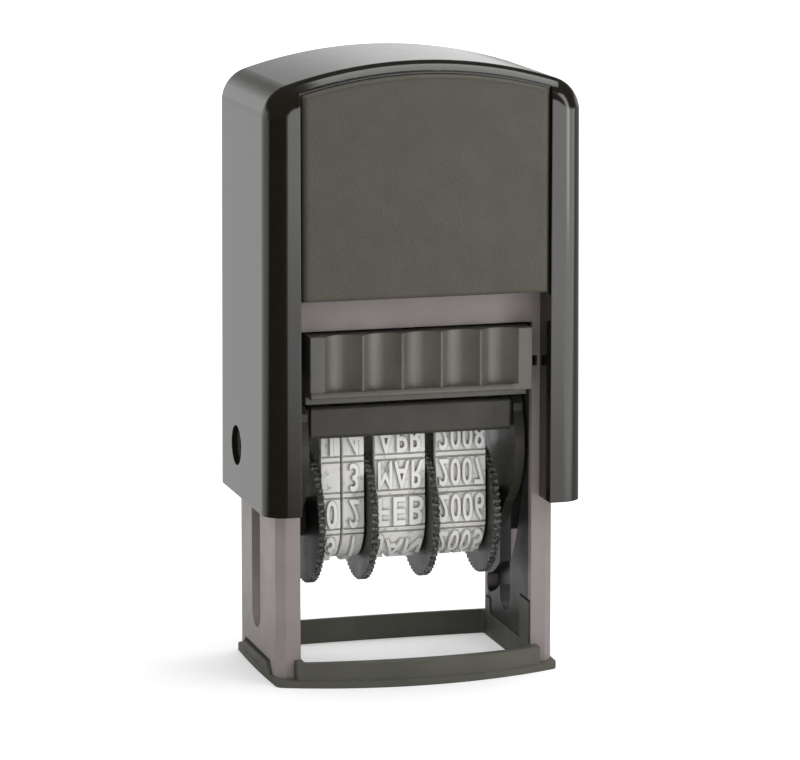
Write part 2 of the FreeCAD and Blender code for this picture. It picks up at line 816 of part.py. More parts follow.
def pad_tray():
    inner_half = tray_half_width - tray_wall
    cavity_front_y = frame_front_y + tray_front_wall
    body = box(-tray_half_width, tray_half_width, frame_front_y, tray_back_y, tray_bottom_z, tray_top_z)
    grip = box(-tray_half_width, tray_half_width, grip_front_y, cavity_front_y, grip_bottom_z, tray_top_z)
    lip = box(-tray_half_width, tray_half_width - lip_end_inset, frame_front_y - lip_reach,
              cavity_front_y, grip_bottom_z, lip_top_z)
    lip = fillet_where(
        lip, lip_radius,
        lambda b: b.YMax < grip_front_y and b.XLength > tray_half_width)
    runner = box(inner_half, tray_half_width + runner_reach, runner_front_y, tray_back_y,
                 runner_bottom_z, runner_bottom_z + runner_height)
    tray = fuse([body, grip, lip] + both_sides(runner))
    cavity = box(-inner_half, inner_half, cavity_front_y, tray_back_y - tray_wall,
                 tray_bottom_z - cut_past, pad_top_z)
    way_out = box(-inner_half, inner_half, cavity_front_y, tray_back_y + cut_past,
                  tray_bottom_z - cut_past, print_face_z + turn_gap)
    flutes = []
    for index in range(flute_count):
        x = (index - (flute_count - 1) / 2) * flute_pitch
        centre_y = grip_front_y - flute_radius + flute_depth
        flutes.append(rod_z(flute_radius, lip_top_z, tray_top_z + cut_past, x, centre_y))
    return tray.cut(cavity).cut(way_out).cut(Part.makeCompound(flutes))


def ink_pad():
    side_x = tray_half_width - tray_wall - running_clearance
    front_y = frame_front_y + tray_front_wall + running_clearance
    back_y = tray_back_y - tray_wall - running_clearance
    return box(-side_x, side_x, front_y, back_y, pad_bottom_z, pad_top_z)


# Return spring

def spring_rise():
    """How far the wire climbs in one turn, from the well's floor to the arched roof."""
    roof_radius = cap_arch_radius - cap_roof
    outer_radius = spring_radius + spring_wire / 2
    roof_sag = roof_radius - math.sqrt(roof_radius ** 2 - outer_radius ** 2)
    height = cap_roof_z - roof_sag - spring_seat_gap - well_floor_z
    return (height - spring_wire) / spring_turns


def helix_place(turns):
    """A point on the spring's centre line and the direction of the wire there."""
    rise = spring_rise()
    angle = 2 * math.pi * turns
    place = V(spring_radius * math.cos(angle), spring_y + spring_radius * math.sin(angle),
              well_floor_z + spring_wire / 2 + rise * turns)
    along = V(-spring_radius * math.sin(angle), spring_radius * math.cos(angle), rise / (2 * math.pi))
    along.normalize()
    return place, along


def biarc(start, start_along, end, end_along):
    """Two arcs that join two points and keep the direction of the wire at each."""
    gap = end - start
    both = start_along + end_along
    a = 2 * (1 - start_along.dot(end_along))
    b = 2 * gap.dot(both)
    reach = (math.sqrt(b * b + 4 * a * gap.dot(gap)) - b) / (2 * a)
    middle = (start + start_along * reach + end - end_along * reach) * 0.5
    arcs = []
    for first, along, last in ((start, start_along, middle), (end, end_along * -1, middle)):
        chord = last - first
        side = (chord - along * chord.dot(along))
        side.normalize()
        radius = chord.dot(chord) / (2 * chord.dot(side))
        centre = first + side * radius
        half_way = (first + last) * 0.5 - centre
        half_way.normalize()
        arcs.append((first, centre + half_way * radius, last))
    first, second = arcs
    return [arc_through(*first), arc_through(second[2], second[1], second[0])]


def return_spring():
    """The coil as one unbroken wire of constant pitch, one biarc for each quarter turn."""
    quarters = spring_turns * 4
    edges = []
    for quarter in range(quarters):
        start, start_along = helix_place(quarter / 4)
        end, end_along = helix_place((quarter + 1) / 4)
        edges += biarc(start, start_along, end, end_along)
    start, along = helix_place(0)
    section = Part.Wire([Part.makeCircle(spring_wire / 2, start, along)])
    print("spring gap between turns", round(spring_rise() - spring_wire, 3))
    return Part.Wire(edges).makePipeShell([section], True, False)


def build():
    nodes = {
        "cap_shell": cap_shell(),
        "front_panel": front_panel(),
        "back_panel": back_panel(),
        "pivot_pin_right": pivot_pin(),
        "pivot_pin_left": mirrored(pivot_pin()),
        "inner_frame": inner_frame(),
        "base_frame": base_frame(),
        "return_spring": return_spring(),
        "date_carrier": date_carrier(),
        "wheel_axle": wheel_axle(),
        "pad_tray": pad_tray(),
        "ink_pad": ink_pad(),
    }
    spans = row_spans()
    for name in ("day_tens", "day_units", "month", "year"):
        x0, x1 = spans[name + "_band"]
        wheel_x0, wheel_x1 = spans[name + "_wheel"]
        hub_end_x = x1 if wheel_x0 < x0 else x0
        nodes[name + "_band"] = rubber_band(x0, x1)
        nodes[name + "_wheel"] = thumb_wheel(wheel_x0, wheel_x1, hub_end_x)
    return nodes


os.makedirs("parts", exist_ok=True)
for node, shape in build().items():
    shape.exportStep("parts/" + node + ".step")
    print(node, shape.isValid(), len(shape.Solids), round(shape.Volume, 2))
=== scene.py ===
import json
import math

import bpy
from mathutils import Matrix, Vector


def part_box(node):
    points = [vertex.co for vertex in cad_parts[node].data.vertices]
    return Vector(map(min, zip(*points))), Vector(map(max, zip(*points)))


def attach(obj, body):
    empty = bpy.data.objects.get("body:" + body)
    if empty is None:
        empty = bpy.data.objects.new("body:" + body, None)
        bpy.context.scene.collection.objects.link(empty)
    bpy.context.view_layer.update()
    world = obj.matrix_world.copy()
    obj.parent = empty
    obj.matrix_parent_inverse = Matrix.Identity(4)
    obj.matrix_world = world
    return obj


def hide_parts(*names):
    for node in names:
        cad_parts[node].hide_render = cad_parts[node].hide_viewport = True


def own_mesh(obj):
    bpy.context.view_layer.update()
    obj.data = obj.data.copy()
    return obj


# A self-inking date stamp on a pale floor, seen a little from the left and above.
# Lengths are in millimetres until mm() turns them into metres. Only those of the floor, the
# lamps and the camera's place are given in metres.
# X runs across the front, -Y points to the front and +Z points up.


def mm(length):
    return length / 1000


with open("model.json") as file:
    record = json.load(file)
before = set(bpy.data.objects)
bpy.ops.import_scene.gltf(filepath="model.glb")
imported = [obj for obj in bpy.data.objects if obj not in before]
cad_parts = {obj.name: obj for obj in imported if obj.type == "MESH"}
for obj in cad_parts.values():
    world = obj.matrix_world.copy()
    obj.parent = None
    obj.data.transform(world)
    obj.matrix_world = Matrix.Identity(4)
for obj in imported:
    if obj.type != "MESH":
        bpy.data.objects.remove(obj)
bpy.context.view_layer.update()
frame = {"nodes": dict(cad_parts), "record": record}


def node_box(node):
    """A node's lowest and highest corners in millimetres."""
    low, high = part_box(node)
    return [side * 1000 for side in low], [side * 1000 for side in high]


# Date bands: rubber belts round the thumb wheels' hub and the platen
band_thickness = 0.8
relief_height = 0.7
pad_height = 0.22
pad_rounding = 0.08
ridge_height = 0.16
character_height = 3.75
character_sink = 0.12
character_boldness = 0.07
character_spacing = 1.12
text_size = 5
text_curve_steps = 4
platen_corner_radius = 1.0
platen_corner_drop = 1.45
platen_flat_half = 1.9
platen_half_depth = 5.1
rows_per_band = 12
steps_per_row = 20
steps_per_pad = 16
steps_per_ridge = 2
steps_across = 4
cuts_per_row = 10
band_shading_angle = 35

# What the bands' rows say, in the order in which they pass the front
rows_of_tens = ["2", "3", "1", "", "0", "3", "2", "1", "", "0", "3", "2"]
rows_of_units = ["6", "5", "4", "3", "2", "1", "0", "9", "8", "7", "", ""]
rows_of_months = ["JUN", "MAY", "APR", "MAR", "FEB", "JAN", "DEC", "NOV", "OCT", "SEP", "AUG", "JUL"]
newest_year = 2010
rows_of_years = [str(newest_year - row) for row in range(rows_per_band)]
word_width = 6.3
single_squeeze = 0.62

# Return spring
spring_wire = 0.9
spring_turns = 9
steps_per_turn = 40
wire_sides = 14
spring_shading_angle = 50

# Ink pad
felt_corner = 1.6
felt_corner_steps = 5
felt_rim = 0.7
felt_slope = 2.0
felt_low_edge = 2.6
felt_crown = 0.25
felt_softening = 2

# Where painted shade starts on the frame's inside: the moulding is one warm grey, darkened there for
# the shade that falls inside
frame_groove_half = 17.3
frame_painted_shade_top = 46.5
frame_painted_shade_depth = 1.0
frame_side_blend = 0.1
frame_depth_blend = 0.4

# How far from the axle the wheels' teeth begin to turn pale, and are pale all over
pale_teeth_from = 8.3
pale_teeth_whole = 8.8

# Points closer than weld_distance become one, an upright edge rises by more than least_rise,
# and the faces at a strip's end lie within end_margin of it
weld_distance = 0.001
least_rise = 1
end_margin = 0.01

# The share of a face's normal along an axis from which the face counts as facing it
facing = 0.5

# Rubber: the step in noise over which a patch turns dirty, and the width of the painted shade in
# corners
dirt_step = 0.22
corner_painted_shade = 0.45

# What noise is mostly between, and how finely soft corners and their dirt are worked out
usual_noise = (0.3, 0.7)
bevel_samples = 4
occlusion_samples = 8

# Camera in metres and degrees, and the sensor and the focal length in millimetres
camera_place = (-0.15128, -0.53738, 0.14042)
camera_down = 10.36
camera_turn = -15.74
camera_sensor = 36
camera_lens = 192.46

# Floor: its size, and where its glow for the camera starts to rise and is whole, in metres
floor_size = 6
floor_glow_near = 0.1
floor_glow_far = 0.6
near_glow = 0.3
far_glow = 1.1

# How wide the floor's patches are, in millimetres
floor_grain = 300

# Light: the point that the lamps face, in metres, and brightness as a share of white
lamp_target = (0, 0, 0.05)
even_light = 0.85
dim_wall = 0.06

# The white wall that gloss sees: from where to where it appears, by a direction's Y and Z
wall_behind = (0.0, 0.4)
wall_low = (0.15, 0.3)

# Where gloss sees the floor's brightness change, in millimetres to the right or to the back
gloss_middle = (0, 40)
gloss_far_right = (60, 110)
gloss_left_side = (-10, 50)
gloss_front = (-100, -40)


# Modelling helpers

def only(piece):
    """Leaves edit mode and selects one piece alone."""
    if bpy.context.mode != "OBJECT":
        bpy.ops.object.mode_set(mode="OBJECT")
    bpy.ops.object.select_all(action="DESELECT")
    piece.select_set(True)
    bpy.context.view_layer.objects.active = piece


def start_piece(name):
    """Names the primitive that was just added and fixes its size and place in its mesh."""
    piece = bpy.context.object
    piece.name = name
    piece.data.name = name
    bpy.ops.object.transform_apply(location=True, rotation=True, scale=True)
    return piece


def block(name, low, high):
    """A block between two corners in millimetres, ready to be shaped."""
    bpy.ops.object.select_all(action="DESELECT")
    middle = [mm(a + b) / 2 for a, b in zip(low, high)]
    bpy.ops.mesh.primitive_cube_add(size=1, location=middle)
    bpy.context.object.scale = [mm(b - a) for a, b in zip(low, high)]
    return start_piece(name)


def select_faces(piece, wanted):
    """Selects the faces whose middle, in millimetres, and normal are wanted."""
    only(piece)
    bpy.ops.object.mode_set(mode="EDIT")
    bpy.ops.mesh.select_mode(type="FACE")
    bpy.ops.mesh.select_all(action="DESELECT")
    bpy.ops.object.mode_set(mode="OBJECT")
    for face in piece.data.polygons:
        face.select = wanted(face.center * 1000, face.normal)
    bpy.ops.object.mode_set(mode="EDIT")


def select_upright_edges(piece):
    """Selects the edges that run up the sides of a block."""
    only(piece)
    bpy.ops.object.mode_set(mode="EDIT")
    bpy.ops.mesh.select_mode(type="EDGE")
    bpy.ops.mesh.select_all(action="DESELECT")
    bpy.ops.object.mode_set(mode="OBJECT")
    for edge in piece.data.edges:
        first, second = [piece.data.vertices[index].co for index in edge.vertices]
        edge.select = abs(first.z - second.z) > mm(least_rise)
    bpy.ops.object.mode_set(mode="EDIT")


def select_all(piece):
    only(piece)
    bpy.ops.object.mode_set(mode="EDIT")
    bpy.ops.mesh.select_all(action="SELECT")


def raise_selected(height):
    """Pulls the selected faces upwards and walls their sides."""
    move = {"value": (0, 0, mm(height))}
    bpy.ops.mesh.extrude_region_move(TRANSFORM_OT_translate=move)


def turn_faces_out(piece):
    """Joins double points and points every face outwards."""
    select_all(piece)
    bpy.ops.mesh.remove_doubles(threshold=mm(weld_distance))
    bpy.ops.mesh.normals_make_consistent(inside=False)
    bpy.ops.object.mode_set(mode="OBJECT")


def finish_piece(piece, body, slot, *nodes):
    """Puts a piece on its body, in place of its solids. The slot is not used."""
    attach(piece, body)
    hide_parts(*nodes)


# Date bands

def belt_circles():
    """The hub and the four edges of the platen that every belt bends over: y, z and radius."""
    low, high = node_box("month_band")
    hub_radius = (high[1] - low[1]) / 2 - relief_height
    middle_y = (low[1] + high[1]) / 2
    hub_z = low[2] + relief_height + hub_radius
    top_z = high[2] - relief_height - platen_corner_radius
    low_z = top_z - platen_corner_drop
    side_y = platen_half_depth - platen_corner_radius
    return [
        (middle_y, hub_z, hub_radius),
        (middle_y + side_y, low_z, platen_corner_radius),
        (middle_y + platen_flat_half, top_z, platen_corner_radius),
        (middle_y - platen_flat_half, top_z, platen_corner_radius),
        (middle_y - side_y, low_z, platen_corner_radius),
    ]


def belt_path():
    """The arcs and straight runs of a belt's outer face, from the back of the hub upwards."""
    circles = belt_circles()
    turns = []
    for (y0, z0, r0), (y1, z1, r1) in zip(circles, circles[1:] + circles[:1]):
        apart = math.hypot(y1 - y0, z1 - z0)
        turns.append(math.atan2(z1 - z0, y1 - y0) - math.pi / 2 + math.asin((r0 - r1) / apart))
    runs = []
    for index, (y, z, radius) in enumerate(circles):
        start = turns[index - 1]
        end = turns[index]
        while end < start:
            end += 2 * math.pi
        length = radius * (end - start)
        runs.append({"centre": (y, z), "radius": radius, "start": start, "length": length})
        next_y, next_z, next_radius = circles[(index + 1) % len(circles)]
        first = (y + radius * math.cos(end), z + radius * math.sin(end))
        last = (next_y + next_radius * math.cos(end), next_z + next_radius * math.sin(end))
        runs.append({"first": first, "last": last, "turn": end, "length": math.dist(first, last)})
    return runs


belt_runs = belt_path()
belt_length = sum(run["length"] for run in belt_runs)
row_pitch = belt_length / rows_per_band
# Each circle gives an arc and then a straight run, so run 5 is the one over the platen.
# The print face's middle is half way along it.
platen_run = 5
before_platen = sum(run["length"] for run in belt_runs[:platen_run])
print_distance = before_platen + belt_runs[platen_run]["length"] / 2


def place_on_belt(distance, height):
    """The y and z of a point at a distance along the belt and a height above its face."""
    distance %= belt_length
    for run in belt_runs:
        if distance <= run["length"]:
            break
        distance -= run["length"]
    if "centre" in run:
        turn = run["start"] + distance / run["radius"]
        reach = run["radius"] + height
        return run["centre"][0] + reach * math.cos(turn), run["centre"][1] + reach * math.sin(turn)
    share = distance / run["length"]
    y = run["first"][0] + share * (run["last"][0] - run["first"][0])
    z = run["first"][1] + share * (run["last"][1] - run["first"][1])
    return y + height * math.cos(run["turn"]), z + height * math.sin(run["turn"])


def wrap_round_belt(piece):
    """Bends a flat strip, whose length is along Y and whose face is up, round the belt's path.

    The bend mirrors the strip, so its faces are turned over afterwards.
    """
    for vertex in piece.data.vertices:
        distance = vertex.co.y * 1000 + print_distance - row_pitch / 2
        y, z = place_on_belt(distance, vertex.co.z * 1000)
        vertex.co.y = mm(y)
        vertex.co.z = mm(z)
    select_all(piece)
    bpy.ops.mesh.remove_doubles(threshold=mm(weld_distance))
    bpy.ops.mesh.flip_normals()
    bpy.ops.object.mode_set(mode="OBJECT")


def part_of_row(y):
    """How far a place on the flat strip is from the middle of its row, in shares of the pitch."""
    return (y / row_pitch) % 1 - 0.5


def closes_an_end(at, out):
    """True for the faces at a flat strip's two ends, which meet once it is bent."""
    return abs(out.y) > facing and (at.y < end_margin or at.y > belt_length - end_margin)


def flat_belt(name, x0, x1):
    """A flat strip with a low pad under each row of characters and a ridge between the rows."""
    bpy.ops.object.select_all(action="DESELECT")
    bpy.ops.mesh.primitive_grid_add(
        x_subdivisions=steps_across, y_subdivisions=rows_per_band * steps_per_row, size=1,
        location=(mm(x0 + x1) / 2, mm(belt_length) / 2, -mm(band_thickness)))
    bpy.context.object.scale = (mm(x1 - x0), mm(belt_length), 1)
    belt = start_piece(name)
    select_all(belt)
    raise_selected(band_thickness)
    turn_faces_out(belt)
    pad_half = steps_per_pad / steps_per_row / 2
    ridge_half = steps_per_ridge / steps_per_row / 2
    select_faces(belt, lambda at, out: out.z > facing and abs(part_of_row(at.y)) < pad_half)
    raise_selected(pad_height)
    bpy.ops.mesh.bevel(offset=mm(pad_rounding), segments=2)
    select_faces(belt, lambda at, out: out.z > facing and abs(part_of_row(at.y)) > 0.5 - ridge_half)
    raise_selected(ridge_height)
    select_faces(belt, closes_an_end)
    bpy.ops.mesh.delete(type="FACE")
    bpy.ops.object.mode_set(mode="OBJECT")
    return belt


def raised_word(word, x, y):
    """One row's characters, lying flat at a place on the strip."""
    bpy.ops.object.select_all(action="DESELECT")
    bpy.ops.object.text_add()
    text = bpy.context.object
    text.data.body = word
    text.data.size = mm(text_size)
    text.data.offset = mm(character_boldness)
    text.data.space_character = character_spacing
    text.data.resolution_u = text_curve_steps
    text.data.extrude = mm((relief_height - character_sink) / 2)
    bpy.ops.object.convert(target="MESH")
    text = bpy.context.object
    low_corner = Vector(text.bound_box[0])
    high_corner = Vector(text.bound_box[6])
    wide = high_corner.x - low_corner.x
    high = high_corner.y - low_corner.y
    scale_x = mm(word_width) / wide if len(word) > 1 else single_squeeze
    scale_y = mm(character_height) / high
    text.scale = (scale_x, scale_y, 1)
    text.location = (
        mm(x) - (low_corner.x + wide / 2) * scale_x,
        mm(y) - (low_corner.y + high / 2) * scale_y,
        mm(relief_height + character_sink) / 2,
    )
    bpy.ops.object.transform_apply(location=True, rotation=True, scale=True)
    return text


def cut_across(piece, spacing):
    """Cuts a flat piece across its length at a steady spacing, so that it can bend."""
    select_all(piece)
    for cut in range(1, round(belt_length / spacing)):
        bpy.ops.mesh.select_all(action="SELECT")
        bpy.ops.mesh.bisect(plane_co=(0, mm(cut * spacing), 0), plane_no=(0, 1, 0))
    bpy.ops.object.mode_set(mode="OBJECT")


def date_band(node, rows):
    """A rubber band with its raised characters, which stand mirrored as on any stamp."""
    low, high = node_box(node)
    belt = flat_belt(node + "_rubber", low[0], high[0])
    middle_x = (low[0] + high[0]) / 2
    words = []
    for row, word in enumerate(rows):
        if word:
            words.append(raised_word(word, middle_x, (row + 0.5) * row_pitch))
    only(words[0])
    for word in words[1:]:
        word.select_set(True)
    bpy.ops.object.join()
    characters = words[0]
    cut_across(characters, row_pitch / cuts_per_row)
    belt.data.materials.append(materials["band_rubber"])
    characters.data.materials.append(finishes["band_characters"])
    wrap_round_belt(belt)
    wrap_round_belt(characters)
    only(belt)
    characters.select_set(True)
    bpy.ops.object.join()
    bpy.ops.object.shade_smooth_by_angle(angle=math.radians(band_shading_angle))
    finish_piece(belt, "carrier", "band_rubber", node)


# Return spring and ink pad

def coil_spring():
    """The return spring: a wire's round section turned up round the spring's middle."""
    low, high = node_box("return_spring")
    middle_x = (low[0] + high[0]) / 2
    middle_y = (low[1] + high[1]) / 2
    coil_radius = (high[0] - low[0] - spring_wire) / 2
    bpy.ops.object.select_all(action="DESELECT")
    bpy.ops.mesh.primitive_circle_add(
        vertices=wire_sides, radius=mm(spring_wire / 2), rotation=(math.radians(90), 0, 0),
        location=(mm(coil_radius), 0, mm(spring_wire / 2)))
    spring = start_piece("coil_spring")
    turning = spring.modifiers.new("turns", "SCREW")
    turning.screw_offset = mm((high[2] - low[2] - spring_wire) / spring_turns)
    turning.iterations = spring_turns
    turning.steps = steps_per_turn
    turning.render_steps = steps_per_turn
    bpy.ops.object.modifier_apply(modifier=turning.name)
    spring.location = (mm(middle_x), mm(middle_y), mm(low[2]))
    bpy.ops.object.transform_apply(location=True, rotation=True, scale=True)
    select_all(spring)
    bpy.ops.mesh.remove_doubles(threshold=mm(weld_distance))
    bpy.ops.mesh.fill_holes(sides=0)
    turn_faces_out(spring)
    bpy.ops.object.shade_smooth_by_angle(angle=math.radians(spring_shading_angle))
    spring.data.materials.append(materials["spring_steel"])
    finish_piece(spring, "frame", "spring_steel", "return_spring")
    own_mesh(spring)


def felt_pad():
    """The inked felt: a soft slab with rounded corners that swells a little between its edges."""
    low, high = node_box("ink_pad")
    pad = block("felt_pad", low, high)
    select_upright_edges(pad)
    bpy.ops.mesh.bevel(offset=mm(felt_corner), segments=felt_corner_steps)
    select_faces(pad, lambda at, out: abs(out.z) > facing)
    bpy.ops.mesh.inset(thickness=mm(felt_rim))
    bpy.ops.mesh.inset(thickness=mm(felt_slope))
    bpy.ops.object.mode_set(mode="OBJECT")
    middle = (low[2] + high[2]) / 2
    for vertex in pad.data.vertices:
        inside = low[0] + felt_low_edge < vertex.co.x * 1000 < high[0] - felt_low_edge
        if not inside:
            side = 1 if vertex.co.z * 1000 > middle else -1
            vertex.co.z -= side * mm(felt_crown)
    only(pad)
    softening = pad.modifiers.new("soft", "SUBSURF")
    softening.levels = felt_softening
    softening.render_levels = felt_softening
    bpy.ops.object.modifier_apply(modifier=softening.name)
    bpy.ops.object.shade_smooth()
    pad.data.materials.append(materials["ink_felt"])
    finish_piece(pad, "cartridge", "ink_felt", "ink_pad")


# Materials

def start_material(name):
    """A material with its shader, and object coordinates in metres."""
    material = bpy.data.materials.new(name)
    material.use_nodes = True
    nodes = material.node_tree.nodes
    shader = nodes["Principled BSDF"]
    place = nodes.new("ShaderNodeTexCoord").outputs["Object"]
    return material, shader, place


def link(material, output, socket):
    """Joins a node's output to a socket, in a material or in the world."""
    material.node_tree.links.new(output, socket)


def noise(material, place, size, detail=2.0):
    """Noise whose lumps are about this many millimetres across."""
    node = material.node_tree.nodes.new("ShaderNodeTexNoise")
    node.inputs["Scale"].default_value = 1 / mm(size)
    node.inputs["Detail"].default_value = detail
    link(material, place, node.inputs["Vector"])
    return node.outputs["Fac"]


def ramp(material, value, start, end, low, high):
    """Turns values from start to end into values from low to high, and holds beyond them."""
    node = material.node_tree.nodes.new("ShaderNodeMapRange")
    node.inputs["From Min"].default_value = start
    node.inputs["From Max"].default_value = end
    node.inputs["To Min"].default_value = low
    node.inputs["To Max"].default_value = high
    link(material, value, node.inputs["Value"])
    return node.outputs["Result"]


def spread(material, value, low, high):
    """Turns noise into values from low to high."""
    return ramp(material, value, *usual_noise, low, high)


def maths(material, operation, first, second=None):
    """Works on one or two values; a number stays a number and an output is linked."""
    node = material.node_tree.nodes.new("ShaderNodeMath")
    node.operation = operation
    for socket, value in zip(node.inputs, (first, second)):
        if isinstance(value, (int, float)):
            socket.default_value = value
        elif value is not None:
            link(material, value, socket)
    return node.outputs[0]


def along(material, place, axis):
    """The place along one axis, in millimetres."""
    node = material.node_tree.nodes.new("ShaderNodeSeparateXYZ")
    link(material, place, node.inputs[0])
    return maths(material, "MULTIPLY", node.outputs[axis], 1000.0)


def colour_between(material, share, first, second):
    """Mixes two colours, or the outputs of two earlier mixes, by a share."""
    node = material.node_tree.nodes.new("ShaderNodeMix")
    node.data_type = "RGBA"
    for socket, colour in zip((node.inputs["A"], node.inputs["B"]), (first, second)):
        if isinstance(colour, tuple):
            socket.default_value = (*colour, 1)
        else:
            link(material, colour, socket)
    link(material, share, node.inputs["Factor"])
    return node.outputs["Result"]


def soft_edges(material, radius):
    """Makes sharp corners catch the light as if they were rounded."""
    node = material.node_tree.nodes.new("ShaderNodeBevel")
    node.samples = bevel_samples
    node.inputs["Radius"].default_value = mm(radius)
    return node.outputs["Normal"]


def bumps(material, height, depth, normal):
    """Raises the surface by up to a depth in millimetres, on top of a normal."""
    node = material.node_tree.nodes.new("ShaderNodeBump")
    node.inputs["Distance"].default_value = mm(depth)
    link(material, height, node.inputs["Height"])
    link(material, normal, node.inputs["Normal"])
    return node.outputs["Normal"]


def moulded_surface(material, shader, place, roughness, grain, grain_depth, edge):
    """The slightly worn gloss, fine grain and soft corners of any moulded plastic."""
    wear = spread(material, noise(material, place, 2.5, 4.0), roughness * 0.88, roughness * 1.12)
    link(material, wear, shader.inputs["Roughness"])
    rounded = soft_edges(material, edge)
    link(material, bumps(material, noise(material, place, grain, 1.0), grain_depth, rounded),
         shader.inputs["Normal"])


def toned(material, place, colour, tint):
    """A colour that drifts slowly between a little darker and a little lighter."""
    dark = tuple(part * (1 - tint) for part in colour)
    light = tuple(part * (1 + tint) for part in colour)
    drift = spread(material, noise(material, place, 9.0), 0, 1)
    return colour_between(material, drift, dark, light)


def moulded_plastic(name, colour, roughness, grain, grain_depth, edge=0.15, tint=0.12):
    """Moulded plastic of one colour."""
    material, shader, place = start_material(name)
    link(material, toned(material, place, colour, tint), shader.inputs["Base Color"])
    moulded_surface(material, shader, place, roughness, grain, grain_depth, edge)
    return material


def housing_gloss():
    """Polished black plastic, with a faint dust that dulls it here and there."""
    material, shader, place = start_material("housing_gloss")
    dust = spread(material, noise(material, place, 0.5, 6.0), 0, 1)
    link(material, colour_between(material, dust, (0.0095, 0.008, 0.005), (0.0135, 0.0115, 0.0075)),
         shader.inputs["Base Color"])
    shader.inputs["IOR"].default_value = 1.6
    moulded_surface(material, shader, place, roughness=0.12, grain=3.0, grain_depth=0.003, edge=0.2)
    return material


def frame_grey():
    """Warm grey plastic, with painted shade where the frame's inside faces the carrier."""
    material, shader, place = start_material("frame_grey")
    outside = toned(material, place, (0.28, 0.244, 0.237), 0.1)
    # The inside colour is painted shade: a darkened copy of the grey, for the shade that falls inside
    # the frame
    inside = toned(material, place, (0.034, 0.036, 0.033), 0.15)
    low, high = node_box("inner_frame")
    half = maths(material, "ABSOLUTE", along(material, place, "X"))
    depth = along(material, place, "Y")
    front = low[1] + frame_painted_shade_depth
    back = high[1] - frame_painted_shade_depth
    side_end = frame_groove_half + frame_side_blend
    top_end = frame_painted_shade_top + frame_side_blend
    narrow = ramp(material, half, frame_groove_half, side_end, 1, 0)
    under = ramp(material, along(material, place, "Z"), frame_painted_shade_top, top_end, 1, 0)
    behind_front = ramp(material, depth, front, front + frame_depth_blend, 0, 1)
    before_back = ramp(material, depth, back - frame_depth_blend, back, 1, 0)
    within = maths(material, "MULTIPLY", behind_front, before_back)
    # dark is the share of painted shade: inside the groove, under the top, and away from the front and
    # back faces
    dark = maths(material, "MULTIPLY", maths(material, "MULTIPLY", narrow, under), within)
    link(material, colour_between(material, dark, outside, inside), shader.inputs["Base Color"])
    moulded_surface(material, shader, place, roughness=0.42, grain=0.3, grain_depth=0.01, edge=0.15)
    return material


def thumb_wheel():
    """Dark wheels whose teeth are paler and speckled."""
    material, shader, place = start_material("wheel_black")
    hub_y, hub_z, _ = belt_circles()[0]
    y = maths(material, "ADD", along(material, place, "Y"), -hub_y)
    z = maths(material, "ADD", along(material, place, "Z"), -hub_z)
    reach = maths(material, "SQRT", maths(
        material, "ADD", maths(material, "POWER", y, 2.0), maths(material, "POWER", z, 2.0)))
    at_teeth = ramp(material, reach, pale_teeth_from, pale_teeth_whole, 0, 1)
    specks = ramp(material, noise(material, place, 0.35, 3.0), 0.42, 0.6, 0, 1)
    pale_specks = maths(material, "MULTIPLY", at_teeth, specks)
    plain = toned(material, place, (0.03, 0.03, 0.026), 0.1)
    link(material, colour_between(material, pale_specks, plain, (0.19, 0.2, 0.19)),
         shader.inputs["Base Color"])
    moulded_surface(material, shader, place, roughness=0.4, grain=0.3, grain_depth=0.01, edge=0.06)
    return material


def steel(name, colour, roughness):
    """Drawn or turned steel with fine marks round it."""
    material, shader, place = start_material(name)
    shader.inputs["Metallic"].default_value = 1.0
    shader.inputs["Base Color"].default_value = (*colour, 1)
    marks = spread(material, noise(material, place, 0.25, 3.0), roughness * 0.8, roughness * 1.3)
    link(material, marks, shader.inputs["Roughness"])
    rounded = soft_edges(material, 0.1)
    link(material, bumps(material, noise(material, place, 0.2), 0.01, rounded),
         shader.inputs["Normal"])
    return material


def in_corners(material, reach):
    """The share of painted shade in a piece's own corners: from 0 on open faces to 1 deep in them, this
    many millimetres wide.
    """
    node = material.node_tree.nodes.new("ShaderNodeAmbientOcclusion")
    node.samples = occlusion_samples
    node.only_local = True
    node.inputs["Distance"].default_value = mm(reach)
    return ramp(material, node.outputs["AO"], 0.45, 0.95, 1, 0)


def rubber(name, clean, dirty_and_shaded, dirt_start):
    """Off-white rubber with a chalky surface, grey dirt patches and painted shade along its corners."""
    material, shader, place = start_material(name)
    patches = ramp(material, noise(material, place, 0.9, 6.0), dirt_start, dirt_start + dirt_step, 0, 1)
    # Grey dirt patches, and painted shade in the corners
    dirt_and_painted_shade = maths(material, "MAXIMUM", patches, in_corners(material, corner_painted_shade))
    link(material, colour_between(material, dirt_and_painted_shade, clean, dirty_and_shaded), shader.inputs["Base Color"])
    shader.inputs["Roughness"].default_value = 0.6
    rounded = soft_edges(material, 0.06)
    link(material, bumps(material, noise(material, place, 0.3, 3.0), 0.015, rounded),
         shader.inputs["Normal"])
    return material


def felt():
    """Felt soaked with nearly black ink."""
    material, shader, place = start_material("ink_felt")
    tone = spread(material, noise(material, place, 0.8, 6.0), 0, 1)
    link(material, colour_between(material, tone, (0.008, 0.008, 0.014), (0.03, 0.03, 0.045)),
         shader.inputs["Base Color"])
    shader.inputs["Roughness"].default_value = 0.8
    rounded = soft_edges(material, 0.2)
    link(material, bumps(material, noise(material, place, 0.25, 6.0), 0.15, rounded),
         shader.inputs["Normal"])
    return material


